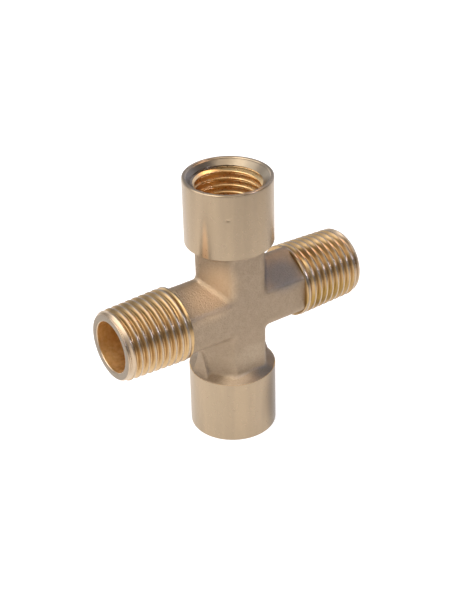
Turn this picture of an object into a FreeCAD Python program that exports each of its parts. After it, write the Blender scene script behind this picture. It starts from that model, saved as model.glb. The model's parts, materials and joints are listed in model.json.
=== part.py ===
import FreeCAD, Part
import Sketcher

import os
import re

# Cross fitting in brass. Four ports lie in one plane and share one centre.
# Two sockets with an internal parallel pipe thread (G 1/4) point along +Z and -Z.
# Two stubs with an external taper pipe thread (R 1/4) point along +X and -X.
# The fitting is one forging. It is divided into zones at the planes where the
# forged skin ends and the turned surfaces begin. Neighbouring zones meet face to face.
# Origin: the crossing of the two port axes. Units: millimetres.

SIZES = [
    # reach of the four ports from the centre
    ("socket_reach", 25.0, "centre to socket rim"),
    ("stub_reach", 25.0, "centre to the free end of the stub"),
    ("socket_start", 12.8, "centre to the plane where the turned socket begins"),
    ("stub_start", 12.2, "centre to the plane where the turned stub begins"),
    # forged arms: eight-sided section
    ("arm_half_width", 6.85, "centre to the narrow flat on the parting line"),
    ("arm_half_depth", 5.86, "centre to the front flat"),
    ("front_flat_half", 3.32, "half width of the front flat"),
    ("side_flat_half", 0.65, "half width of the narrow flat"),
    ("inner_corner_radius", 1.2, "radius where two arms meet"),
    # forged shoulder between an arm and a socket, a shallow cone
    ("shoulder_core_radius", 5.0, "inner limit of the cone, inside the arm"),
    ("shoulder_core_level", 11.24, "centre to the inner limit of the cone"),
    # webs left on the parting line above the lower socket
    ("web_half_width", 6.93, "centre to the face of the web"),
    ("web_top_level", 8.2, "centre to the narrow end of the web"),
    ("web_foot_level", 12.3, "centre to the wide end of the web"),
    ("web_foot_half", 2.1, "half width of the web's wide end"),
    # drilled passages
    ("socket_passage_radius", 4.5, "passage between the two sockets"),
    ("stub_passage_radius", 4.65, "passage between the two stubs"),
    # thread form of all four ports: 19 turns to the inch, 55 degree flanks
    ("pitch", 1.337, "distance between neighbouring crests"),
    ("groove_root_half", 0.111, "half width of the groove at the root"),
    ("groove_open_half", 0.62, "half width of the groove just clear of the crest"),
    ("cutter_clearance", 0.12, "how far the cutter stands clear of the crest"),
    ("cutter_above", 26.2, "centre to the first turn of the cutter, clear of the port"),
    ("thread_depth", 0.856, "depth of the thread, crest to root"),
    # socket
    ("socket_radius", 7.9, "outer radius of the socket"),
    ("rim_break", 0.25, "bevel on the outer edge of the rim"),
    ("rim_flat_radius", 7.3, "inner radius of the flat rim"),
    ("lead_in_radius", 7.1, "top radius of the conical lead-in"),
    ("lead_in_top", 24.75, "centre to the top of the conical lead-in"),
    ("lead_in_foot", 23.4, "centre to the foot of the conical lead-in"),
    ("tapping_radius", 5.7225, "tapping hole, the thread's minor radius"),
    ("socket_groove_height", 10.4, "travel of the cutter along the axis"),
    ("land_top", 15.05, "centre to the top of the plain land below the thread"),
    ("land_foot", 13.53, "centre to the foot of the plain land"),
    # stub
    ("stub_crest_start", 6.791, "crest radius where the stub begins"),
    ("stub_bevel_foot", 24.0, "centre to the foot of the end bevel"),
    ("end_ring_radius", 5.8, "outer radius of the flat end ring"),
    ("mouth_radius", 4.85, "mouth of the passage, bevelled"),
    ("mouth_depth_plane", 24.8, "centre to the foot of the mouth bevel"),
    ("stub_groove_height", 12.9, "travel of the cutter along the axis"),
    ("taper_half_angle", 1.78991, "taper 1 in 16 on diameter, in degrees"),
]


def make_sheet(doc):
    sheet = doc.addObject("Spreadsheet::Sheet", "Sizes")
    for column, title in zip("ABC", ("size", "value", "meaning")):
        sheet.set(column + "1", title)
    for row, (alias, value, meaning) in enumerate(SIZES, start=2):
        sheet.set("A%d" % row, alias)
        sheet.set("B%d" % row, str(value))
        sheet.set("C%d" % row, meaning)
        sheet.setAlias("B%d" % row, alias)
    doc.recompute()


def origin_feature(body, role):
    for feature in body.Origin.OriginFeatures:
        if feature.Role == role:
            return feature
    raise ValueError(role)


def sketch_on(body, role, name):
    sketch = body.newObject("Sketcher::SketchObject", name)
    sketch.AttachmentSupport = [(origin_feature(body, role), "")]
    sketch.MapMode = "FlatFace"
    return sketch


def sized(formula):
    """Point the names in a formula, such as socket_reach - rim_break, at the sheet."""
    return re.sub("[a-z]+(_[a-z]+)+", lambda name: "Sizes." + name.group(), formula)


def bind_point(sketch, curve, end, across, up):
    """Tie one end of a curve to two sheet formulas."""
    for kind, formula in (("DistanceX", sized(across)), ("DistanceY", sized(up))):
        value = float(sketch.evalExpression(formula))
        index = sketch.addConstraint(Sketcher.Constraint(kind, -1, 1, curve, end, value))
        sketch.setExpression("Constraints[%d]" % index, formula)


def place(sketch, corner):
    across, up = [float(sketch.evalExpression(sized(name))) for name in corner]
    return FreeCAD.Vector(across, up, 0)


def draw_outline(sketch, corners):
    """A closed outline of straight lines. Each corner is a pair of sheet formulas."""
    spots = [place(sketch, corner) for corner in corners]
    for start, end in zip(spots, spots[1:] + spots[:1]):
        sketch.addGeometry(Part.LineSegment(start, end), False)
    count = len(corners)
    for line in range(count):
        joint = Sketcher.Constraint("Coincident", line, 2, (line + 1) % count, 1)
        sketch.addConstraint(joint)
    for line, (across, up) in enumerate(corners):
        bind_point(sketch, line, 1, across, up)


def draw_circle(sketch, radius):
    value = float(sketch.evalExpression(sized(radius)))
    ring = Part.Circle(FreeCAD.Vector(0, 0, 0), FreeCAD.Vector(0, 0, 1), value)
    sketch.addGeometry(ring, False)
    sketch.addConstraint(Sketcher.Constraint("Coincident", 0, 3, -1, 1))
    index = sketch.addConstraint(Sketcher.Constraint("Radius", 0, value))
    sketch.setExpression("Constraints[%d]" % index, sized(radius))


def add_feature(body, kind, name, sketch):
    feature = body.newObject("PartDesign::" + kind, name)
    feature.Profile = sketch
    feature.Refine = False
    sketch.Visibility = False
    return feature


def pad_both_ways(body, name, sketch, half_length):
    pad = add_feature(body, "Pad", name, sketch)
    pad.SideType = "Symmetric"
    pad.setExpression("Length", "2 * Sizes." + half_length)


def cut_both_ways(body, name, sketch):
    pocket = add_feature(body, "Pocket", name, sketch)
    pocket.SideType = "Symmetric"
    pocket.Type = "ThroughAll"


def turn(body, name, sketch):
    """Revolve a sketch on the XZ plane about Z."""
    turned = add_feature(body, "Revolution", name, sketch)
    turned.ReferenceAxis = (sketch, ["V_Axis"])
    turned.Angle = 360


def cut_thread(body, name, sketch, height, angle=None):
    """Cut a right-handed groove that travels from the open end towards the centre."""
    groove = add_feature(body, "SubtractiveHelix", name, sketch)
    groove.ReferenceAxis = (sketch, ["V_Axis"])
    groove.Mode = "pitch-height-angle"
    groove.setExpression("Pitch", "Sizes.pitch")
    groove.setExpression("Height", "Sizes." + height)
    groove.Reversed = True
    groove.LeftHanded = False
    if angle:
        groove.setExpression("Angle", "Sizes." + angle)


# ---- forged centre ----

ARM_SECTION = [
    ("front_flat_half", "-arm_half_depth"),
    ("arm_half_width", "-side_flat_half"),
    ("arm_half_width", "side_flat_half"),
    ("front_flat_half", "arm_half_depth"),
    ("-front_flat_half", "arm_half_depth"),
    ("-arm_half_width", "side_flat_half"),
    ("-arm_half_width", "-side_flat_half"),
    ("-front_flat_half", "-arm_half_depth"),
]


def inner_corner_edges(shape, half_width):
    """Names of the edges where two arms meet: both ends at equal distance along X and Z."""
    names = []
    for number, edge in enumerate(shape.Edges, start=1):
        ends = [vertex.Point for vertex in edge.Vertexes]
        on_corner = all(
            abs(abs(p.x) - abs(p.z)) < 1e-4 and 1.0 < abs(p.x) < half_width + 0.01
            for p in ends
        )
        same_corner = ends[0].x * ends[-1].x > 0 and ends[0].z * ends[-1].z > 0
        if on_corner and same_corner:
            names.append("Edge%d" % number)
    return names


def add_shoulder(body, name, sign):
    """Conical forged shoulder next to one socket."""
    sketch = sketch_on(body, "XZ_Plane", name + "_outline")
    draw_outline(
        sketch,
        [
            ("shoulder_core_radius", sign + "socket_start"),
            ("socket_radius", sign + "socket_start"),
            ("shoulder_core_radius", sign + "shoulder_core_level"),
        ],
    )
    turn(body, name, sketch)


def add_webs(body):
    """Tapering webs on both narrow flats above the lower socket."""
    sketch = sketch_on(body, "YZ_Plane", "lower_web_outline")
    draw_outline(
        sketch,
        [
            ("-side_flat_half", "-web_top_level"),
            ("-web_foot_half", "-web_foot_level"),
            ("web_foot_half", "-web_foot_level"),
            ("side_flat_half", "-web_top_level"),
        ],
    )
    pad_both_ways(body, "lower_webs", sketch, "web_half_width")


def drill(body, name, role, radius):
    sketch = sketch_on(body, role, name + "_circle")
    draw_circle(sketch, radius)
    cut_both_ways(body, name, sketch)


def make_forged_body(doc):
    body = doc.addObject("PartDesign::Body", "forged_body")
    upright = sketch_on(body, "XY_Plane", "upright_arm_section")
    draw_outline(upright, ARM_SECTION)
    pad_both_ways(body, "upright_arms", upright, "socket_start")
    level = sketch_on(body, "YZ_Plane", "level_arm_section")
    draw_outline(level, [(up, across) for across, up in ARM_SECTION])
    pad_both_ways(body, "level_arms", level, "stub_start")
    doc.recompute()
    crossing = body.Tip
    half_width = float(crossing.evalExpression("Sizes.arm_half_width"))
    corners = body.newObject("PartDesign::Fillet", "inner_corners")
    corners.Base = (crossing, inner_corner_edges(crossing.Shape, half_width))
    corners.setExpression("Radius", "Sizes.inner_corner_radius")
    add_shoulder(body, "upper_shoulder", "")
    add_shoulder(body, "lower_shoulder", "-")
    add_webs(body)
    drill(body, "socket_passage", "XY_Plane", "socket_passage_radius")
    drill(body, "stub_passage", "YZ_Plane", "stub_passage_radius")
    body.Placement = FreeCAD.Placement()
    return body


# ---- turned sockets, drawn pointing along +Z ----

# The plain land below the thread is drawn in bands of one radius, which meet without a step.
LAND_BANDS = [
    ("tapping_radius", "land_top - (land_top - land_foot) * %g" % share)
    for share in (0.25, 0.5, 0.75)
]

SOCKET_OUTLINE = [
    ("socket_passage_radius", "socket_start"),
    ("socket_radius", "socket_start"),
    ("socket_radius", "socket_reach - rim_break"),
    ("socket_radius - rim_break", "socket_reach"),
    ("rim_flat_radius", "socket_reach"),
    ("lead_in_radius", "lead_in_top"),
    ("tapping_radius", "lead_in_foot"),
    ("tapping_radius", "land_top"),
    *LAND_BANDS,
    ("tapping_radius", "land_foot"),
]

SOCKET_GROOVE = [
    ("tapping_radius - cutter_clearance", "cutter_above + groove_open_half"),
    ("tapping_radius + thread_depth", "cutter_above + groove_root_half"),
    ("tapping_radius + thread_depth", "cutter_above - groove_root_half"),
    ("tapping_radius - cutter_clearance", "cutter_above - groove_open_half"),
]


def make_socket(doc, name, placement):
    body = doc.addObject("PartDesign::Body", name)
    outline = sketch_on(body, "XZ_Plane", name + "_outline")
    draw_outline(outline, SOCKET_OUTLINE)
    turn(body, name + "_blank", outline)
    groove = sketch_on(body, "XZ_Plane", name + "_groove")
    draw_outline(groove, SOCKET_GROOVE)
    cut_thread(body, name + "_thread", groove, "socket_groove_height")
    body.Placement = placement
    return body


# ---- turned stubs, drawn pointing along +Z ----

# Radius of the thread's crest at the foot of the end bevel and at the cutter's first turn.
BEVEL_CREST = "stub_crest_start - (stub_bevel_foot - stub_start) * tan(taper_half_angle)"
FIRST_CREST = "stub_crest_start - (cutter_above - stub_start) * tan(taper_half_angle)"

STUB_OUTLINE = [
    ("stub_passage_radius", "stub_start"),
    ("stub_crest_start", "stub_start"),
    (BEVEL_CREST, "stub_bevel_foot"),
    ("end_ring_radius", "stub_reach"),
    ("mouth_radius", "stub_reach"),
    ("stub_passage_radius", "mouth_depth_plane"),
]

STUB_GROOVE = [
    (FIRST_CREST + " + cutter_clearance", "cutter_above + groove_open_half"),
    (FIRST_CREST + " - thread_depth", "cutter_above + groove_root_half"),
    (FIRST_CREST + " - thread_depth", "cutter_above - groove_root_half"),
    (FIRST_CREST + " + cutter_clearance", "cutter_above - groove_open_half"),
]


def make_stub(doc, name, placement):
    body = doc.addObject("PartDesign::Body", name)
    outline = sketch_on(body, "XZ_Plane", name + "_outline")
    draw_outline(outline, STUB_OUTLINE)
    turn(body, name + "_blank", outline)
    groove = sketch_on(body, "XZ_Plane", name + "_groove")
    draw_outline(groove, STUB_GROOVE)
    cut_thread(body, name + "_thread", groove, "stub_groove_height", "taper_half_angle")
    body.Placement = placement
    return body


def check(doc):
    doc.recompute()
    for item in doc.Objects:
        if "Invalid" in item.State or "Error" in item.State:
            raise RuntimeError("%s: %s" % (item.Name, item.State))


def export(bodies):
    os.makedirs("parts", exist_ok=True)
    for body in bodies:
        shape = body.Shape
        if shape.isNull() or not shape.isValid() or len(shape.Solids) != 1:
            raise RuntimeError(body.Label + " is not one valid solid")
        shape.exportStep("parts/" + body.Label + ".step")
        print(body.Label, round(shape.Volume, 2), shape.BoundBox)


def main():
    doc = FreeCAD.newDocument("cross_fitting")
    make_sheet(doc)
    origin = FreeCAD.Vector(0, 0, 0)
    level = FreeCAD.Vector(0, 1, 0)
    flip = FreeCAD.Vector(1, 0, 0)
    bodies = [
        make_forged_body(doc),
        make_socket(doc, "female_socket_top", FreeCAD.Placement()),
        make_socket(
            doc,
            "female_socket_bottom",
            FreeCAD.Placement(origin, FreeCAD.Rotation(flip, 180)),
        ),
        make_stub(
            doc,
            "male_thread_right",
            FreeCAD.Placement(origin, FreeCAD.Rotation(level, 90)),
        ),
        make_stub(
            doc,
            "male_thread_left",
            FreeCAD.Placement(origin, FreeCAD.Rotation(level, -90)),
        ),
    ]
    check(doc)
    export(bodies)


main()
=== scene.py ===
import json
import math

import bpy
import numpy as np
from mathutils import Matrix, Vector


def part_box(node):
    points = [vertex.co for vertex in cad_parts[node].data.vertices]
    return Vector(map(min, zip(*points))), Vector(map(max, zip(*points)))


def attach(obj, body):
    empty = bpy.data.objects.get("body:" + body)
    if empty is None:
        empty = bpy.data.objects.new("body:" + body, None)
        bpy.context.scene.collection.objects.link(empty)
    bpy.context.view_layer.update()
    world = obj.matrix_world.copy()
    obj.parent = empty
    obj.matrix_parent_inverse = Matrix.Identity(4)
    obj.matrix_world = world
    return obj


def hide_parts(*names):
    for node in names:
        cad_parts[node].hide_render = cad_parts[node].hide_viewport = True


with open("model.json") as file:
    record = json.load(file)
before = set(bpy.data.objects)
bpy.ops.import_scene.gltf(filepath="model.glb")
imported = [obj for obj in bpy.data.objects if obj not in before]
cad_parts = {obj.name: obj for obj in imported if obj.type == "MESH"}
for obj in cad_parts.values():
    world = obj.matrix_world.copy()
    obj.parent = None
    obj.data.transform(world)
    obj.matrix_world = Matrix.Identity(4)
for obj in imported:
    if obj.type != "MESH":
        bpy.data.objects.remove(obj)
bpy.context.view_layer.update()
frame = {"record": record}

# Cross fitting in forged and turned brass. The shapes are worked out in millimetres in the
# CAD frame: sockets along +Z and -Z, threaded stubs along +X and -X, front towards -Y.
MM = 0.001
TURN = 2 * math.pi
QUARTER = TURN / 4
RANDOM_SEED = 20


# ---------------------------------------------------------------- sizes from the frame

def node_box(name):
    low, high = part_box(name)
    return np.array(low) / MM, np.array(high) / MM


MOUNTS = {mount["name"]: mount for mount in frame["record"]["mounts"]}
SOCKET_LOW, SOCKET_HIGH = node_box("female_socket_top")
STUB_LOW, STUB_HIGH = node_box("male_thread_right")
SOCKET_START = SOCKET_LOW[2]
SOCKET_REACH = SOCKET_HIGH[2]
SOCKET_RADIUS = SOCKET_HIGH[0]
STUB_START = STUB_LOW[0]
STUB_REACH = STUB_HIGH[0]
STUB_CREST = STUB_HIGH[1]
TAPPING_RADIUS = MOUNTS["port_top"]["dims"]["r_mm"]
SOCKET_PASSAGE = MOUNTS["socket_passage"]["dims"]["r_mm"]
STUB_PASSAGE = MOUNTS["stub_passage"]["dims"]["r_mm"]

# Pipe thread: 19 turns to the inch, taper 1 in 16 on the stubs' diameter.
PITCH = 25.4 / 19
THREAD_DEPTH = 0.856
TAPER = 1 / 32


# ---------------------------------------------------------------- noise and soft joins

LATTICE_SIZE = 48
random = np.random.RandomState(RANDOM_SEED)
LATTICE = random.uniform(-1, 1, (LATTICE_SIZE,) * 3)


def noise(points, size, shift=0.0):
    """Smooth value noise between -1 and 1, with lumps of about the given size in mm."""
    at = points / size + shift
    cell = np.floor(at).astype(int)
    part = at - cell
    part = part * part * (3 - 2 * part)
    total = 0
    for dx in (0, 1):
        for dy in (0, 1):
            for dz in (0, 1):
                index = (cell + (dx, dy, dz)) % LATTICE_SIZE
                weight = 1
                for axis, near in enumerate((dx, dy, dz)):
                    weight = weight * (part[..., axis] if near else 1 - part[..., axis])
                total = total + weight * LATTICE[index[..., 0], index[..., 1], index[..., 2]]
    return total


def soft_max(a, b, width):
    """The larger of two distances, with the edge between them rounded over width."""
    blend = np.clip(0.5 + 0.5 * (a - b) / width, 0, 1)
    return b + (a - b) * blend + width * blend * (1 - blend)


def soft_min(a, b, width):
    return -soft_max(-a, -b, width)


def fillet_min(a, b, radius):
    """Union of two solids with a round fillet of the given radius in the corner."""
    inner = np.hypot(np.maximum(radius - a, 0), np.maximum(radius - b, 0))
    return np.maximum(radius, np.minimum(a, b)) - inner


def waves(angle, terms):
    """Sum of waves round a turn. Each term is a count of waves, a height and a phase."""
    return sum(height * np.sin(count * angle + phase) for count, height, phase in terms)


# How far the turned edge of a socket wanders into the rough shoulder, in mm.
EDGE_WAVES = ((2, 0.035, 0.6), (5, 0.03, 2.1), (11, 0.02, 0.0))


# ---------------------------------------------------------------- forged centre

# Forged arms: eight-sided section, narrow flats on the parting line.
ARM_WIDTH = 6.85
ARM_DEPTH = 5.86
FRONT_HALF = 3.32
SIDE_HALF = 0.65
SLOPE_LENGTH = math.hypot(ARM_WIDTH - FRONT_HALF, ARM_DEPTH - SIDE_HALF)
SLOPE_ACROSS = (ARM_DEPTH - SIDE_HALF) / SLOPE_LENGTH
SLOPE_DEPTH = (ARM_WIDTH - FRONT_HALF) / SLOPE_LENGTH
SLOPE_REACH = FRONT_HALF * SLOPE_ACROSS + ARM_DEPTH * SLOPE_DEPTH
CONE_RISE = 0.538
CONE_SCALE = 1 / math.hypot(1, CONE_RISE)

# How widely edges are rounded and corners are filled, in mm.
PARTING_EDGE = 0.35
FRONT_EDGE = 0.75
CORNER_FILLET = 0.75
WEB_EDGE = 0.12
WEB_JOIN = 0.30
SHOULDER_JOIN = 0.45
BORE_EDGE = 0.12

# The webs above the lower socket, the left one longer than the right one.
WEB_TOP_LEFT = 8.2
WEB_TOP_RIGHT = 9.9
WEB_SPREAD_LEFT = 0.354
WEB_SPREAD_RIGHT = 0.58
WEB_SIDE_SCALE = 0.94
WEB_FACE = 6.86
WEB_FACE_LEAN = 0.03

# The shoulders stay just inside the sockets' radius beyond this level.
SHOULDER_LEVEL = 11
SHOULDER_GAP = 0.02
OUT_OF_REACH = 20

# The forging runs this far into the turned pieces.
OVERLAP = 0.25

# Uneven skin: size of the lumps, their height and a shift of the noise.
SKIN_WAVES = ((2.6, 0.03, 0.0), (0.8, 0.012, 7.3))

# Single swellings: centre, radii and height in mm.
LUMP_FADE = 2.2
LUMPS = [
    ((10.6, -0.2, -6.9), (0.95, 1.4, 0.8), 0.40),
    ((-4.35, -4.4, -7.5), (0.55, 0.55, 0.65), 0.13),
    ((-3.4, -5.2, 9.4), (0.9, 0.8, 0.7), 0.05),
    ((3.1, -5.7, -9.2), (0.8, 0.8, 0.8), 0.05),
]


def arm(across, depth):
    """Distance to the slopes and narrow flats of one arm."""
    slope = SLOPE_ACROSS * np.abs(across) + SLOPE_DEPTH * np.abs(depth) - SLOPE_REACH
    return soft_max(slope, np.abs(across) - ARM_WIDTH, PARTING_EDGE)


def shoulder(x, y, z):
    """Shallow cone between an arm and a socket, rough from the die."""
    radius = np.hypot(x, y)
    edge = SOCKET_START - waves(np.arctan2(y, x), EDGE_WAVES)
    level = edge - CONE_RISE * (SOCKET_RADIUS - radius)
    return (level - np.abs(z)) * CONE_SCALE


def web(x, y, z):
    """Tapering webs on the parting line above the lower socket."""
    top = np.where(x < 0, WEB_TOP_LEFT, WEB_TOP_RIGHT)
    drop = -z - top
    half = SIDE_HALF + np.where(x < 0, WEB_SPREAD_LEFT, WEB_SPREAD_RIGHT) * drop
    side = (np.abs(y) - half) * WEB_SIDE_SCALE
    face = np.abs(x) - (WEB_FACE + WEB_FACE_LEAN * drop)
    return np.maximum(soft_max(face, side, WEB_EDGE), z + top)


def lump(points, centre, radii, height):
    """How far a low swelling lifts the surface, in mm."""
    away = ((points - np.array(centre)) / np.array(radii)) ** 2
    return height * np.exp(-away.sum(-1) * LUMP_FADE)


def bore_distance(points):
    """Distance to the nearer of the two crossing passages, negative inside one."""
    x, y, z = points[..., 0], points[..., 1], points[..., 2]
    return np.minimum(np.hypot(x, y) - SOCKET_PASSAGE, np.hypot(z, y) - STUB_PASSAGE)


def forged_field(points):
    """Signed distance to the forging in mm, negative inside."""
    x, y, z = points[..., 0], points[..., 1], points[..., 2]
    arms = fillet_min(arm(x, y), arm(z, y), CORNER_FILLET)
    body = soft_max(arms, np.abs(y) - ARM_DEPTH, FRONT_EDGE)
    body = soft_min(body, web(x, y, z), WEB_JOIN)
    body = soft_min(body, shoulder(x, y, z), SHOULDER_JOIN)
    for size, height, shift in SKIN_WAVES:
        body = body - height * noise(points, size, shift)
    for centre, radii, height in LUMPS:
        body = body - lump(points, centre, radii, height)
    limit = np.hypot(x, y) - (SOCKET_RADIUS - SHOULDER_GAP)
    body = np.maximum(body, limit - OUT_OF_REACH * (np.abs(z) < SHOULDER_LEVEL))
    body = np.maximum(body, np.abs(z) - SOCKET_START - OVERLAP)
    body = np.maximum(body, np.abs(x) - STUB_START - OVERLAP)
    return soft_max(body, -bore_distance(points), BORE_EDGE)


def sample(field, low, high, cell):
    """Values of a field on a grid of cubes from low to high."""
    axes = [np.arange(a, b + cell, cell) for a, b in zip(low, high)]
    values = np.empty([len(axis) for axis in axes])
    for i, x in enumerate(axes[0]):
        y, z = np.meshgrid(axes[1], axes[2], indexing="ij")
        values[i] = field(np.stack([np.full_like(y, x), y, z], -1))
    return values


def surface_net(values):
    """Quads round the zero level of a sampled field: corner places in cells, and quads."""
    cells = np.array(values.shape) - 1
    strides = np.array([cells[1] * cells[2], cells[2], 1])
    places = np.zeros((cells.prod(), 3))
    counts = np.zeros(cells.prod())
    crossings = []
    for axis in range(3):
        near = np.moveaxis(values, axis, 0)[:-1]
        far = np.moveaxis(values, axis, 0)[1:]
        found = np.argwhere((near < 0) != (far < 0))
        start, end = near[tuple(found.T)], far[tuple(found.T)]
        others = [other for other in range(3) if other != axis]
        base = np.zeros_like(found)
        base[:, axis] = found[:, 0]
        base[:, others[0]] = found[:, 1]
        base[:, others[1]] = found[:, 2]
        spot = base.astype(float)
        spot[:, axis] += start / (start - end)
        ring = []
        for a, b in ((-1, -1), (0, -1), (0, 0), (-1, 0)):
            owner = base.copy()
            owner[:, others[0]] += a
            owner[:, others[1]] += b
            index = owner @ strides
            np.add.at(places, index, spot)
            np.add.at(counts, index, 1)
            ring.append(index)
        quads = np.stack(ring, 1)
        flip = (start < 0) == (axis == 1)
        quads[flip] = quads[flip][:, ::-1]
        crossings.append(quads)
    used = counts > 0
    number = np.cumsum(used) - 1
    return places[used] / counts[used][:, None], number[np.concatenate(crossings)]


def slope_of(field, points, step=0.01):
    """Gradient of the field at each point."""
    parts = []
    for axis in range(3):
        offset = np.zeros(3)
        offset[axis] = step
        parts.append((field(points + offset) - field(points - offset)) / (2 * step))
    return np.stack(parts, -1)


LEAST_STEEP = 0.2
LONGEST_MOVE = 0.08


def settle(field, points, rounds=1):
    """Move each point onto the zero level, by at most the longest move in each round."""
    for _ in range(rounds):
        gradient = slope_of(field, points)
        steep = np.maximum((gradient ** 2).sum(-1), LEAST_STEEP)
        move = (field(points) / steep)[:, None] * gradient
        points = points - np.clip(move, -LONGEST_MOVE, LONGEST_MOVE)
    return points


def relax(points, quads, share):
    """Move each point towards the middle of its neighbours, to even out the quads."""
    pairs = np.concatenate([quads[:, [i, (i + 1) % 4]] for i in range(4)])
    total = np.zeros_like(points)
    counts = np.zeros(len(points))
    for a, b in ((0, 1), (1, 0)):
        np.add.at(total, pairs[:, a], points[pairs[:, b]])
        np.add.at(counts, pairs[:, a], 1)
    return points + share * (total / counts[:, None] - points)


def make_mesh(name, points, quads, materials, indices, sharp):
    """Object from quads in mm. Edges over sharp degrees stay sharp."""
    mesh = bpy.data.meshes.new(name)
    mesh.vertices.add(len(points))
    mesh.vertices.foreach_set("co", (points * MM).astype(np.float32).ravel())
    mesh.loops.add(quads.size)
    mesh.loops.foreach_set("vertex_index", quads.astype(np.int32).ravel())
    mesh.polygons.add(len(quads))
    mesh.polygons.foreach_set("loop_start", np.arange(0, quads.size, 4, dtype=np.int32))
    mesh.polygons.foreach_set("loop_total", np.full(len(quads), 4, dtype=np.int32))
    for material in materials:
        mesh.materials.append(material)
    mesh.polygons.foreach_set("material_index", indices.astype(np.int32))
    mesh.update(calc_edges=True)
    mesh.validate()
    mesh.shade_smooth()
    mesh.set_sharp_from_angle(angle=math.radians(sharp))
    piece = bpy.data.objects.new(name, mesh)
    bpy.context.scene.collection.objects.link(piece)
    return piece


def stand_in(piece, node):
    """The piece stands for a CAD node and rides on the fitting's one body."""
    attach(piece, "root")
    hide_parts(node)


FORGING_CELL = 0.2
FORGING_MARGIN = (0.6, 0.4, 0.6)
FORGING_SHARP = 40
RELAX_ROUNDS = 3
RELAX_SHARE = 0.5
BORE_SKIN = 0.1


def make_forging(materials):
    reach = np.array([STUB_START, SOCKET_RADIUS, SOCKET_START]) + FORGING_MARGIN
    points, quads = surface_net(sample(forged_field, -reach, reach, FORGING_CELL))
    points = points * FORGING_CELL - reach
    for _ in range(RELAX_ROUNDS):
        points = settle(forged_field, relax(points, quads, RELAX_SHARE))
    points = settle(forged_field, points, 2)
    in_bore = bore_distance(points[quads].mean(1)) < BORE_SKIN
    piece = make_mesh("forged_centre", points, quads, materials, in_bore, FORGING_SHARP)
    stand_in(piece, "forged_body")


# ---------------------------------------------------------------- turned pieces

COLUMNS = 208
TURNED_SHARP = 50


def spun(profile, columns):
    """Ring-shaped closed surface. profile gives a radius and a level for each row and column."""
    angle = np.arange(columns) * TURN / columns
    radius, level = profile(angle)
    points = np.stack([radius * np.cos(angle), radius * np.sin(angle), level], -1)
    rows = len(points)
    row = np.arange(rows)[:, None]
    column = np.arange(columns)[None, :]
    ring = [
        row * columns + column,
        row * columns + (column + 1) % columns,
        (row + 1) % rows * columns + (column + 1) % columns,
        (row + 1) % rows * columns + column,
    ]
    quads = np.stack(ring, -1).reshape(-1, 4)
    return points.reshape(-1, 3), quads


def spaced(start, end, step):
    """Levels from start to end, the end left out, at about the given step."""
    count = max(1, int(round(abs(end - start) / step)))
    return start + (end - start) * np.arange(count) / count


CREST_ROUNDING = 0.07
ROOT_ROUNDING = 0.12


def ridge(phase, crest_flat, root_flat):
    """Thread height from 0 at the root to 1 at the crest, with rounded corners."""
    away = np.abs(phase - np.round(phase)) * PITCH
    flank = (away - crest_flat / 2) / (PITCH / 2 - crest_flat / 2 - root_flat / 2)
    height = soft_min(1 - flank, np.ones_like(flank), CREST_ROUNDING)
    return soft_max(height, np.zeros_like(flank), ROOT_ROUNDING)


def turned_rows(rows, angle):
    """Radius and level arrays from (radius, level) rows that may depend on the angle."""
    radius = np.array([np.broadcast_to(r, angle.shape) for r, _ in rows])
    level = np.array([np.broadcast_to(z, angle.shape) for _, z in rows])
    return radius, level


# Socket: flat rim, lead-in cone, thread, plain land and a floor round the passage.
# The rows at the rim give a radius and a depth below the rim.
RIM_BEVEL = 0.22
RIM_STEPS = 6
RIM_ROWS = ((7.55, 0), (7.42, 0), (7.36, 0), (7.31, 0.03), (7.26, 0.12), (7.14, 0.185))
LEAD_IN_RADIUS = 7.1
LEAD_IN_TOP = SOCKET_REACH - 0.2
LEAD_IN_SLOPE = 1.02
LEAD_IN_JOIN = 0.05
LEAD_IN_DEPTH = 1.22
LAND_FOOT = SOCKET_START + 0.73
LAND_LENGTH = 0.9
LAND_FADE = 1.2
FLOOR_RADIUS = 5.1
FLOOR_DROP = 0.36
SOCKET_JOINT = 6.2
SOCKET_CREST = 0.16
SOCKET_ROOT = 0.20
SOCKET_ROWS = 0.4
SOCKET_THREAD_ROWS = 0.036

# One small pit in the outside of each socket.
PIT_SIZE = 0.24
PIT_DEPTH = 0.10
PIT_REACH = 0.55
PIT_ROWS = 17


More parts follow.
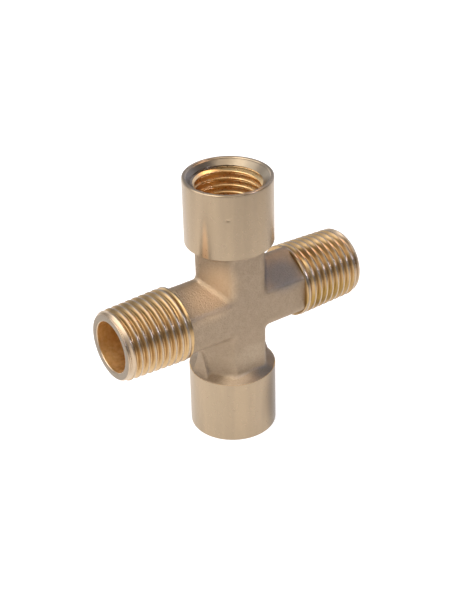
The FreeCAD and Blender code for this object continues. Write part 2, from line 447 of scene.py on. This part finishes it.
def socket_profile(crest_level, crest_angle, pit_angle, pit_level):
    """Profile of a socket that points along +Z, with a thread crest at the given place."""
    def inner(angle, level):
        phase = (level - crest_level) / PITCH - (angle - crest_angle) / TURN
        fade = np.clip((level - LAND_FOOT - LAND_LENGTH) / LAND_FADE, 0, 1)
        depth = THREAD_DEPTH * (1 - ridge(phase, SOCKET_CREST, SOCKET_ROOT)) * fade
        cone = LEAD_IN_RADIUS - LEAD_IN_SLOPE * (LEAD_IN_TOP - level)
        return soft_max(TAPPING_RADIUS + depth, cone, LEAD_IN_JOIN)

    def outside(angle):
        rows = [(SOCKET_RADIUS, SOCKET_START - waves(angle, EDGE_WAVES))]
        aside = (np.mod(angle - pit_angle + math.pi, TURN) - math.pi) * SOCKET_RADIUS
        plain = spaced(SOCKET_START, SOCKET_REACH - RIM_BEVEL, SOCKET_ROWS)[1:]
        pitted = pit_level + np.linspace(-PIT_REACH, PIT_REACH, PIT_ROWS)
        for level in np.sort(np.concatenate([plain, pitted])):
            pit = PIT_DEPTH * np.exp(-(aside ** 2 + (level - pit_level) ** 2) / PIT_SIZE ** 2)
            rows.append((SOCKET_RADIUS - pit, level))
        return rows

    def rim():
        rows = []
        for turn in np.linspace(0, QUARTER, RIM_STEPS):
            rows.append((SOCKET_RADIUS - RIM_BEVEL * (1 - math.cos(turn)),
                         SOCKET_REACH - RIM_BEVEL * (1 - math.sin(turn))))
        for radius, drop in RIM_ROWS:
            rows.append((radius, SOCKET_REACH - drop))
        return rows

    def profile(angle):
        rows = outside(angle) + rim()
        for level in spaced(LEAD_IN_TOP, LAND_FOOT, SOCKET_THREAD_ROWS):
            rows.append((inner(angle, level), level))
        rows.append((TAPPING_RADIUS, LAND_FOOT))
        rows.append((FLOOR_RADIUS, LAND_FOOT - FLOOR_DROP))
        rows.append((SOCKET_PASSAGE, SOCKET_START))
        rows.append((SOCKET_JOINT, SOCKET_START))
        return turned_rows(rows, angle)

    return profile


# Stub: taper thread that runs out towards the forging, end bevel, flat end ring and mouth.
# Its grooves are shallower than the standard thread's, for broad bands and thin crest lines.
# The rows at the end give a radius and a depth below the end.
STUB_DEPTH = 0.64
STUB_CREST_FLAT = 0.22
STUB_ROOT_FLAT = 0.20
RUN_OUT_START = 0.1
RUN_OUT_LENGTH = 1.9
RUN_OUT_DEPTH = 0.12
BEVEL_SLOPE = 0.62
BEVEL_JOIN = 0.06
RING_RADIUS = 5.85
RING_BEVEL = 0.08
RING_EDGE = 0.1
RING_EDGE_INSET = 0.02
RING_STEPS = 4
END_ROWS = ((5.55, 0), (5.2, 0), (4.85, 0), (4.78, 0.02), (4.70, 0.08),
            (STUB_PASSAGE, 0.15), (STUB_PASSAGE, 0.17), (STUB_PASSAGE, 0.22))
STUB_JOINT_RADII = (5.3, 5.9)
STUB_JOINT_DEPTH = 0.12
STUB_JOINT_RISE = 0.02
STUB_THREAD_ROWS = 0.030
BORE_ROWS = 0.5

# Where the turning tool ran out, the edge is broken back unevenly.
BURR_DEPTH = 0.14
BURR_LENGTH = 0.6
BURR_WAVES = ((7, 0.25, 1.0), (17, 0.15, 0.4), (31, 0.1, 0.0))


def stub_crest(level):
    return STUB_CREST - TAPER * (level - STUB_START)


def burr(angle, level):
    """How far the edge where the turning tool ran out is broken back, in mm."""
    near = np.clip(1 - (level - STUB_START) / BURR_LENGTH, 0, 1)
    return BURR_DEPTH * (0.5 + waves(angle, BURR_WAVES)) * near ** 2


def stub_profile(crest_level, crest_angle):
    """Profile of a threaded stub that points along +Z."""
    def outer(angle, level):
        phase = (level - crest_level) / PITCH - (angle - crest_angle) / TURN
        run_out = np.clip((level - STUB_START - RUN_OUT_START) / RUN_OUT_LENGTH, 0, 1)
        deep = RUN_OUT_DEPTH + (1 - RUN_OUT_DEPTH) * run_out
        cut = STUB_DEPTH * (1 - ridge(phase, STUB_CREST_FLAT, STUB_ROOT_FLAT)) * deep
        bevel = RING_RADIUS + RING_BEVEL + (STUB_REACH - level) * BEVEL_SLOPE
        return soft_min(stub_crest(level) - cut - burr(angle, level), bevel, BEVEL_JOIN)

    def end_ring():
        rows = []
        for turn in np.linspace(0, QUARTER, RING_STEPS):
            rows.append((RING_RADIUS + RING_EDGE * math.cos(turn) - RING_EDGE_INSET,
                         STUB_REACH - RING_BEVEL * (1 - math.sin(turn))))
        for radius, drop in END_ROWS:
            rows.append((radius, STUB_REACH - drop))
        return rows

    def profile(angle):
        rows = [(radius, STUB_START) for radius in STUB_JOINT_RADII]
        rows.append((STUB_CREST - STUB_JOINT_DEPTH - burr(angle, STUB_START),
                     STUB_START + STUB_JOINT_RISE))
        for level in spaced(STUB_START + RUN_OUT_START, STUB_REACH - RING_BEVEL, STUB_THREAD_ROWS):
            rows.append((outer(angle, level), level))
        rows += end_ring()
        for level in spaced(STUB_REACH - BORE_ROWS, STUB_START, BORE_ROWS):
            rows.append((STUB_PASSAGE, level))
        rows.append((STUB_PASSAGE, STUB_START))
        return turned_rows(rows, angle)

    return profile


# Order of the materials on the turned pieces.
SOCKET_OUTSIDE, SOCKET_INSIDE, SOCKET_CONE = range(3)
STUB_OUTSIDE, STUB_BORE, STUB_FACE, STUB_FLANK, STUB_SHADED_EDGE = range(5)

# A face counts as flank or crest edge when it is this far below the crests.
FLANK_BELOW = 0.09
EDGE_BELOW = 0.012
BEVEL_ZONE = 1.0

# How far off a radius or level a face may be and still count as on it.
NEAR_CONE = 0.05
NEAR_CONE_TOP = 0.02
NEAR_END = 0.01


def socket_zone(radius, level):
    """Which material a socket has at a radius and level."""
    inner = np.where(level < LEAD_IN_TOP - LEAD_IN_DEPTH, SOCKET_INSIDE, SOCKET_CONE)
    hollow = (radius < LEAD_IN_RADIUS + NEAR_CONE) & (level < LEAD_IN_TOP + NEAR_CONE_TOP)
    return np.where(hollow, inner, SOCKET_OUTSIDE)


def stub_zone(radius, level):
    """Which material a stub has at a radius and level."""
    below = stub_crest(level) - radius
    threaded = level < STUB_REACH - BEVEL_ZONE
    zone = np.where(threaded & (below > EDGE_BELOW), STUB_SHADED_EDGE, STUB_OUTSIDE)
    zone = np.where(threaded & (below > FLANK_BELOW), STUB_FLANK, zone)
    zone = np.where(level > STUB_REACH - NEAR_END, STUB_FACE, zone)
    return np.where(radius < STUB_PASSAGE + NEAR_END, STUB_BORE, zone)


def make_turned(name, node, profile, turn, materials, zone):
    """Turned piece along +Z, moved by turn. zone picks a material for each radius and level."""
    points, quads = spun(profile, COLUMNS)
    middle = points[quads].mean(1)
    indices = zone(np.hypot(middle[:, 0], middle[:, 1]), middle[:, 2])
    points = points @ np.array(turn.to_3x3()).T
    piece = make_mesh(name, points, quads, materials, indices, TURNED_SHARP)
    stand_in(piece, node)


# ---------------------------------------------------------------- materials

class Nodes:
    """Short calls for building a node tree."""

    def __init__(self, tree):
        self.tree = tree

    def add(self, kind, values=(), **settings):
        node = self.tree.nodes.new("ShaderNode" + kind)
        for key, value in settings.items():
            setattr(node, key, value)
        for key, value in dict(values).items():
            node.inputs[key].default_value = value
        return node

    def link(self, source, target, socket):
        self.tree.links.new(source, target.inputs[socket])

    def noise(self, vector, size, detail, roughness):
        """Noise texture with lumps of about the given size in mm."""
        values = {"Scale": 1 / (size * MM), "Detail": detail, "Roughness": roughness}
        texture = self.add("TexNoise", values)
        self.link(vector, texture, "Vector")
        return texture.outputs["Fac"]

    def mapped(self, value, soft=False, **limits):
        """Map Range node. The limits are from_min, from_max, to_min and to_max."""
        smooth = "SMOOTHSTEP" if soft else "LINEAR"
        values = {key.replace("_", " ").title(): limit for key, limit in limits.items()}
        node = self.add("MapRange", values, interpolation_type=smooth)
        self.link(value, node, "Value")
        return node.outputs["Result"]

    def bump(self, height, distance, normal=None):
        node = self.add("Bump", {"Strength": 1.0, "Distance": distance * MM})
        self.link(height, node, "Height")
        if normal:
            self.link(normal, node, "Normal")
        return node.outputs["Normal"]


# The coarse bump's height over the fine one's, how far turning lines are drawn out, and the
# share of a patch that has its full colour.
SECOND_BUMP = 1.6
LINE_STRETCH = 0.02
PATCH_CORE = 0.35


def mottled(nodes, place, colour, colour_dark, blotch, streaks):
    """Colour that wanders between two tones, drawn out along Z by streaks."""
    drawn = nodes.add("Mapping", {"Scale": (1, 1, streaks)})
    nodes.link(place, drawn, "Vector")
    wide = nodes.noise(drawn.outputs["Vector"], blotch, detail=4.0, roughness=0.55)
    mix = nodes.add("MixRGB", {"Color1": (*colour_dark, 1), "Color2": (*colour, 1)})
    nodes.link(nodes.mapped(wide, from_min=0.35, from_max=0.65), mix, "Fac")
    return mix.outputs["Color"]


def paint_light_oval(nodes, place, tint, centre, radii, colour):
    """Colour with one soft oval patch of another colour over it, which paints light and shade onto
    the brass. Sizes are in mm.
    """
    local = nodes.add("Mapping", {"Location": Vector(centre) * MM, "Scale": Vector(radii) * MM},
                      vector_type="TEXTURE")
    nodes.link(place, local, "Vector")
    away = nodes.add("VectorMath", operation="LENGTH")
    nodes.link(local.outputs["Vector"], away, 0)
    fade = nodes.mapped(away.outputs["Value"], from_min=PATCH_CORE, from_max=1.0,
                        to_min=1.0, to_max=0.0, soft=True)
    over = nodes.add("MixRGB", {"Color2": (*colour, 1)})
    nodes.link(fade, over, "Fac")
    nodes.link(tint, over, "Color1")
    return over.outputs["Color"]


def tool_lines(nodes, place, normal, axis, pitch, depth):
    """Fine turning lines across the given axis, pitch and depth in mm."""
    scale = [LINE_STRETCH] * 3
    scale["XYZ".index(axis)] = 1.0
    squeeze = nodes.add("Mapping", {"Scale": scale})
    nodes.link(place, squeeze, "Vector")
    marks = nodes.noise(squeeze.outputs["Vector"], pitch, detail=4.0, roughness=0.7)
    return nodes.bump(marks, depth, normal)


def brass(name, colour, colour_dark, roughness, spread, grain=0.2, bump=0.002, anisotropic=0.0,
          lines=None, blotch=1.2, coarse=0.35, painted_light_ovals=(), streaks=1.0):
    """Brass with a procedural skin and patches of painted light and shade. Sizes are in mm. A patch
    is a centre, radii and a colour.
    """
    material = bpy.data.materials.new(name)
    material.use_nodes = True
    material.node_tree.nodes.clear()
    nodes = Nodes(material.node_tree)
    place = nodes.add("TexCoord").outputs["Object"]
    shader = nodes.add("BsdfPrincipled", {"Metallic": 1.0, "Anisotropic": anisotropic,
                                           "Anisotropic Rotation": 0.25})
    nodes.link(shader.outputs["BSDF"], nodes.add("OutputMaterial"), "Surface")

    tint = mottled(nodes, place, colour, colour_dark, blotch, streaks)
    # Patches of painted light and shade go over the brass's own mottled colour.
    for patch in painted_light_ovals:
        tint = paint_light_oval(nodes, place, tint, *patch)
    nodes.link(tint, shader, "Base Color")

    lumps = nodes.noise(place, coarse, detail=2.0, roughness=0.5)
    rough = nodes.mapped(lumps, from_min=0.3, from_max=0.7,
                         to_min=roughness - spread, to_max=roughness + spread)
    nodes.link(rough, shader, "Roughness")

    fine = nodes.noise(place, grain, detail=3.0, roughness=0.6)
    normal = nodes.bump(lumps, bump * SECOND_BUMP, nodes.bump(fine, bump))
    if lines:
        normal = tool_lines(nodes, place, normal, *lines)
    nodes.link(normal, shader, "Normal")
    if anisotropic:
        around = nodes.add("Tangent", direction_type="RADIAL", axis=lines[0])
        nodes.link(around.outputs["Tangent"], shader, "Tangent")
    return material


# Painted light and shade: soft patches where the brass is painted more golden, lighter, greyer or
# darker, standing in for reflections and shade.
# Painted reflection: the upper left slopes painted golden, as if lit by the brass beside them.
PAINTED_REFLECTION_LEFT_SLOPES = ((-7.6, -4.6, 6.9), (6.6, 5.0, 6.6), (0.64, 0.465, 0.295))
# Painted shade: the right arm's upper slope painted dark grey.
PAINTED_SHADE_RIGHT_SLOPE = ((8.4, -4.4, 5.4), (5.8, 4.0, 4.8), (0.235, 0.215, 0.195))
# Painted light: the left front of the lower shoulder painted lighter.
PAINTED_LIGHT_LEFT_SHOULDER = ((-3.6, -6.0, -12.4), (4.6, 2.8, 1.4), (0.60, 0.475, 0.335))
# Painted light: the front of the lower arm painted lighter.
PAINTED_LIGHT_LOWER_ARM = ((0.0, -6.0, -8.3), (4.5, 3.0, 3.2), (0.445, 0.352, 0.250))
# Painted shade: the right front of the lower shoulder painted grey and darker.
PAINTED_SHADE_RIGHT_SHOULDER = ((3.0, -7.0, -12.2), (4.2, 2.4, 1.3), (0.25, 0.22, 0.185))
# The forged skin's patches of painted light and shade.
PAINTED_LIGHT_SKIN_PATCHES = (PAINTED_REFLECTION_LEFT_SLOPES, PAINTED_SHADE_RIGHT_SLOPE, PAINTED_LIGHT_LEFT_SHOULDER, PAINTED_LIGHT_LOWER_ARM, PAINTED_SHADE_RIGHT_SHOULDER)
# Painted reflection: an orange streak of the left arm's reflection, drawn up the lower left of the
# top socket.
PAINTED_REFLECTION_STREAK = ((-7.19, -3.27, 13.4), (0.85, 0.85, 7.6), (0.62, 0.42, 0.25))
# Painted shade: the right side of the lower socket painted darker.
PAINTED_SHADE_LOWER_RIGHT = ((5.4, -5.8, -18.0), (5.5, 5.5, 12.0), (0.18, 0.132, 0.086))
# The sockets' patches of painted light and shade.
PAINTED_LIGHT_SOCKET_PATCHES = (PAINTED_REFLECTION_STREAK, PAINTED_SHADE_LOWER_RIGHT)
# Painted shade: the lower front of the right thread's flanks painted darker.
PAINTED_SHADE_UNDER_RIGHT_THREAD = ((17.0, -6.2, -1.8), (9.0, 3.8, 3.0), (0.37, 0.235, 0.075))
# Painted shade: the top of the left thread's flanks painted darker.
PAINTED_SHADE_TOP_OF_LEFT_THREAD = ((-20.3, -0.2, 6.3), (9.0, 4.4, 3.0), (0.36, 0.24, 0.115))
# The flanks' patches of painted shade.
PAINTED_SHADE_FLANK_PATCHES = (PAINTED_SHADE_UNDER_RIGHT_THREAD, PAINTED_SHADE_TOP_OF_LEFT_THREAD)

# Turning lines on the sockets and on the stubs: axis, pitch and depth in mm.
SOCKET_LINES = ("Z", 0.12, 0.002)
STUB_LINES = ("X", 0.10, 0.001)


def forged_brass():
    # The forged skin carries the patches of painted light and shade.
    return brass("forged_brass_painted_light", (0.405, 0.312, 0.220), (0.370, 0.285, 0.197),
                 roughness=0.56, spread=0.10, grain=0.16, bump=0.064, coarse=0.30,
                 painted_light_ovals=PAINTED_LIGHT_SKIN_PATCHES)


def drilled_brass():
    return brass("drilled_brass", (0.93, 0.66, 0.33), (0.78, 0.51, 0.21),
                 roughness=0.46, spread=0.08, grain=0.3, bump=0.004, blotch=0.8)


def socket_brasses():
    """Outside, thread and lead-in of a socket, in the order of socket_zone."""
    # The outside of the sockets carries the painted reflection streak and painted shade.
    outside = brass("turned_brass_painted_light", (0.430, 0.330, 0.222), (0.385, 0.298, 0.205),
                    roughness=0.30, spread=0.03, anisotropic=0.8, lines=SOCKET_LINES,
                    blotch=2.2, streaks=0.12, painted_light_ovals=PAINTED_LIGHT_SOCKET_PATCHES)
    inside = brass("tapped_brass", (0.92, 0.65, 0.34), (0.86, 0.59, 0.28),
                   roughness=0.30, spread=0.04, bump=0.003)
    cone = brass("lead_in_brass_skin", (0.27, 0.22, 0.158), (0.25, 0.20, 0.142),
                 roughness=0.34, spread=0.03, bump=0.003)
    return [outside, inside, cone]


def stub_brasses(bore):
    """Crests and bevel, bore, end face, flanks and crest edges painted in shade, in the order of
    stub_zone.
    """
    crest = brass("threaded_brass_skin", (0.52, 0.405, 0.285), (0.48, 0.37, 0.255),
                  roughness=0.30, spread=0.03, lines=STUB_LINES)
    face = brass("faced_brass_skin", (0.23, 0.184, 0.133), (0.215, 0.17, 0.122),
                 roughness=0.30, spread=0.03, bump=0.003)
    # The flanks carry patches of painted shade.
    flank = brass("cut_brass_painted_shade", (0.54, 0.365, 0.18), (0.48, 0.315, 0.15),
                  roughness=0.31, spread=0.03, lines=STUB_LINES, painted_light_ovals=PAINTED_SHADE_FLANK_PATCHES)
    # Painted shade: the rounded crest edges get a darker copy of the crest brass, which damps the
    # highlight they catch.
    edge = brass("crest_edge_painted_shade_brass", (0.34, 0.265, 0.19), (0.32, 0.25, 0.18),
                 roughness=0.30, spread=0.03)
    return [crest, bore, face, flank, edge]


# ---------------------------------------------------------------- stage, light and camera

# The floor glows with a painted pool of light, brightest in a long oval that fades to a pale grey.
# Sizes are in metres.
FLOOR_HALF = 3.0
FLOOR_COLOUR = (0.50, 0.50, 0.50, 1)
POOL_CENTRE = (0.052, 0.086)
POOL_TURN = math.radians(-34)
POOL_SIZE = (0.098, 0.190)
POOL_FADE = 1.7
POOL_GLOW = 0.78
FLOOR_GLOW = 0.10


def floor_material(level):
    material = bpy.data.materials.new("floor_glowing_pool")
    material.use_nodes = True
    shader = material.node_tree.nodes["Principled BSDF"]
    shader.inputs["Base Color"].default_value = FLOOR_COLOUR
    shader.inputs["Roughness"].default_value = 0.9
    shader.inputs["Specular IOR Level"].default_value = 0.1
    shader.inputs["Emission Color"].default_value = (1, 1, 1, 1)
    nodes = Nodes(material.node_tree)
    oval = nodes.add("Mapping", {"Location": (*POOL_CENTRE, level), "Rotation": (0, 0, POOL_TURN),
                                 "Scale": (*POOL_SIZE, 1)}, vector_type="TEXTURE")
    nodes.link(nodes.add("TexCoord").outputs["Object"], oval, "Vector")
    away = nodes.add("VectorMath", operation="LENGTH")
    nodes.link(oval.outputs["Vector"], away, 0)
    # Painted light: the floor's own glow, strongest in the pool.
    glow = nodes.mapped(away.outputs["Value"], from_min=1.0, from_max=POOL_FADE,
                        to_min=POOL_GLOW, to_max=FLOOR_GLOW, soft=True)
    nodes.link(glow, shader, "Emission Strength")
    return material


def make_floor():
    level = -SOCKET_REACH * MM
    signs = ((-1, -1), (1, -1), (1, 1), (-1, 1))
    corners = [(x * FLOOR_HALF, y * FLOOR_HALF, level) for x, y in signs]
    mesh = bpy.data.meshes.new("floor")
    mesh.from_pydata(corners, [], [(0, 1, 2, 3)])
    mesh.materials.append(floor_material(level))
    floor = bpy.data.objects.new("floor", mesh)
    bpy.context.scene.collection.objects.link(floor)


# Soft light comes from panels far away, each given by a direction, its edge's inner and outer
# angle in degrees, and its brightness. The rest of the room is dark grey.
ROOM = (0.14, 0.15, 0.17)
PANELS = {
    "back_wall": ((0.35, 0.80, 0.42), 20, 48, (0.30, 0.32, 0.38)),
    "right_wall": ((0.93, 0.20, 0.24), 12, 34, (0.52, 0.58, 0.80)),
    "left_back_wall": ((-0.50, 0.70, 0.48), 10, 26, (0.62, 0.62, 0.66)),
    "warm_wall": ((-0.90, 0.34, 0.26), 8, 20, (0.90, 0.60, 0.42)),
    "far_wall": ((-0.06, 0.98, 0.12), 10, 24, (1.10, 1.10, 1.08)),
    "overhead": ((0.53, 0.09, 0.84), 5, 13, (5.60, 3.70, 2.50)),
    "back_ceiling": ((0.50, 0.45, 0.74), 5, 26, (0.45, 0.39, 0.33)),
    "window": ((-0.52, -0.16, 0.84), 12, 27, (2.1, 1.9, 1.6)),
    "front_ceiling": ((-0.10, -0.58, 0.81), 9, 22, (2.5, 2.3, 2.1)),
    "lamp": ((0.48, -0.74, 0.47), 3.0, 5.0, (20.0, 22.0, 32.0)),
}
KEY_PLACE = (-0.135, 0.020, 0.115)
KEY_SIZE = 0.24
KEY_POWER = 0.32


def panel_light(nodes, place, direction, inner, outer, colour):
    """Light of one panel, fading from its inner to its outer angle."""
    facing = nodes.add("VectorMath", {1: Vector(direction).normalized()}, operation="DOT_PRODUCT")
    nodes.link(place, facing, 0)
    share = nodes.mapped(facing.outputs["Value"], from_min=math.cos(math.radians(outer)),
                         from_max=math.cos(math.radians(inner)), soft=True)
    glow = nodes.add("VectorMath", {0: colour}, operation="SCALE")
    nodes.link(share, glow, "Scale")
    return glow.outputs["Vector"]


def make_room():
    """World with the panels. Their light adds up on top of the dark room."""
    world = bpy.data.worlds.new("studio")
    world.use_nodes = True
    nodes = Nodes(world.node_tree)
    place = nodes.add("TexCoord").outputs["Generated"]
    total = None
    for direction, inner, outer, colour in PANELS.values():
        add = nodes.add("VectorMath", {0: ROOM}, operation="ADD")
        if total:
            nodes.link(total, add, 0)
        nodes.link(panel_light(nodes, place, direction, inner, outer, colour), add, 1)
        total = add.outputs["Vector"]
    nodes.link(total, world.node_tree.nodes["Background"], "Color")
    bpy.context.scene.world = world
    bpy.context.scene.view_settings.view_transform = "Standard"


def make_key():
    """One near round lamp above and to the left, a little behind the fitting."""
    key = bpy.data.lights.new("key", "AREA")
    key.shape = "DISK"
    key.size = KEY_SIZE
    key.energy = KEY_POWER
    lamp = bpy.data.objects.new("key", key)
    lamp.location = KEY_PLACE
    lamp.rotation_euler = Vector(KEY_PLACE).to_track_quat("Z", "Y").to_euler()
    bpy.context.scene.collection.objects.link(lamp)


# The camera stands to the left of the front and looks down. Distance and target are in mm.
CAMERA_AZIMUTH = math.radians(34.126)
CAMERA_ELEVATION = math.radians(31.101)
CAMERA_ROLL = math.radians(-1.580)
CAMERA_DISTANCE = 240.35
CAMERA_TARGET = (-1.246, 0.0, 0.772)
CAMERA_SENSOR = 36.0
CAMERA_LENS = 80.97
CAMERA_CLIP = 0.01


def make_camera():
    level = math.cos(CAMERA_ELEVATION)
    back = Vector((-math.sin(CAMERA_AZIMUTH) * level, -math.cos(CAMERA_AZIMUTH) * level,
                   math.sin(CAMERA_ELEVATION)))
    side = Vector((math.cos(CAMERA_AZIMUTH), -math.sin(CAMERA_AZIMUTH), 0))
    upward = back.cross(side)
    right = math.cos(CAMERA_ROLL) * side + math.sin(CAMERA_ROLL) * upward
    top = math.cos(CAMERA_ROLL) * upward - math.sin(CAMERA_ROLL) * side
    data = bpy.data.cameras.new("camera")
    data.sensor_fit = "VERTICAL"
    data.sensor_height = CAMERA_SENSOR
    data.lens = CAMERA_LENS
    data.clip_start = CAMERA_CLIP
    camera = bpy.data.objects.new("camera", data)
    place = Matrix((right, top, back)).transposed().to_4x4()
    place.translation = (Vector(CAMERA_TARGET) + back * CAMERA_DISTANCE) * MM
    camera.matrix_world = place
    bpy.context.scene.collection.objects.link(camera)
    bpy.context.scene.camera = camera


# ---------------------------------------------------------------- the whole fitting

# Turns that take +Z to the way each turned piece points.
UPRIGHT = Matrix.Identity(4)
UPSIDE_DOWN = Matrix.Rotation(math.pi, 4, "X")
TO_RIGHT = Matrix.Rotation(math.pi / 2, 4, "Y")
TO_LEFT = Matrix.Rotation(-math.pi / 2, 4, "Y")

# Piece, node, turn, then where a crest passes (level and angle) and the pit (angle and level).
SOCKETS = (
    ("socket_top", "female_socket_top", UPRIGHT, (24.1, 0.0, -2.188, 20.41)),
    ("socket_bottom", "female_socket_bottom", UPSIDE_DOWN, (24.1, 1.0, 2.160, 18.15)),
)

# Piece, node, turn, then where a crest passes (distance from the end and angle).
STUBS = (
    ("stub_left", "male_thread_left", TO_LEFT, 0.99, math.radians(-58)),
    ("stub_right", "male_thread_right", TO_RIGHT, 1.62, math.radians(-125)),
)


def make_fitting():
    bore = drilled_brass()
    make_forging([forged_brass(), bore])
    socket_materials = socket_brasses()
    for name, node, turn, marks in SOCKETS:
        make_turned(name, node, socket_profile(*marks), turn,
                    socket_materials, socket_zone)
    stub_materials = stub_brasses(bore)
    for name, node, turn, from_end, crest_angle in STUBS:
        profile = stub_profile(STUB_REACH - from_end, crest_angle)
        make_turned(name, node, profile, turn, stub_materials, stub_zone)


make_camera()
make_floor()
make_room()
make_key()
make_fitting()
bpy.context.view_layer.update()
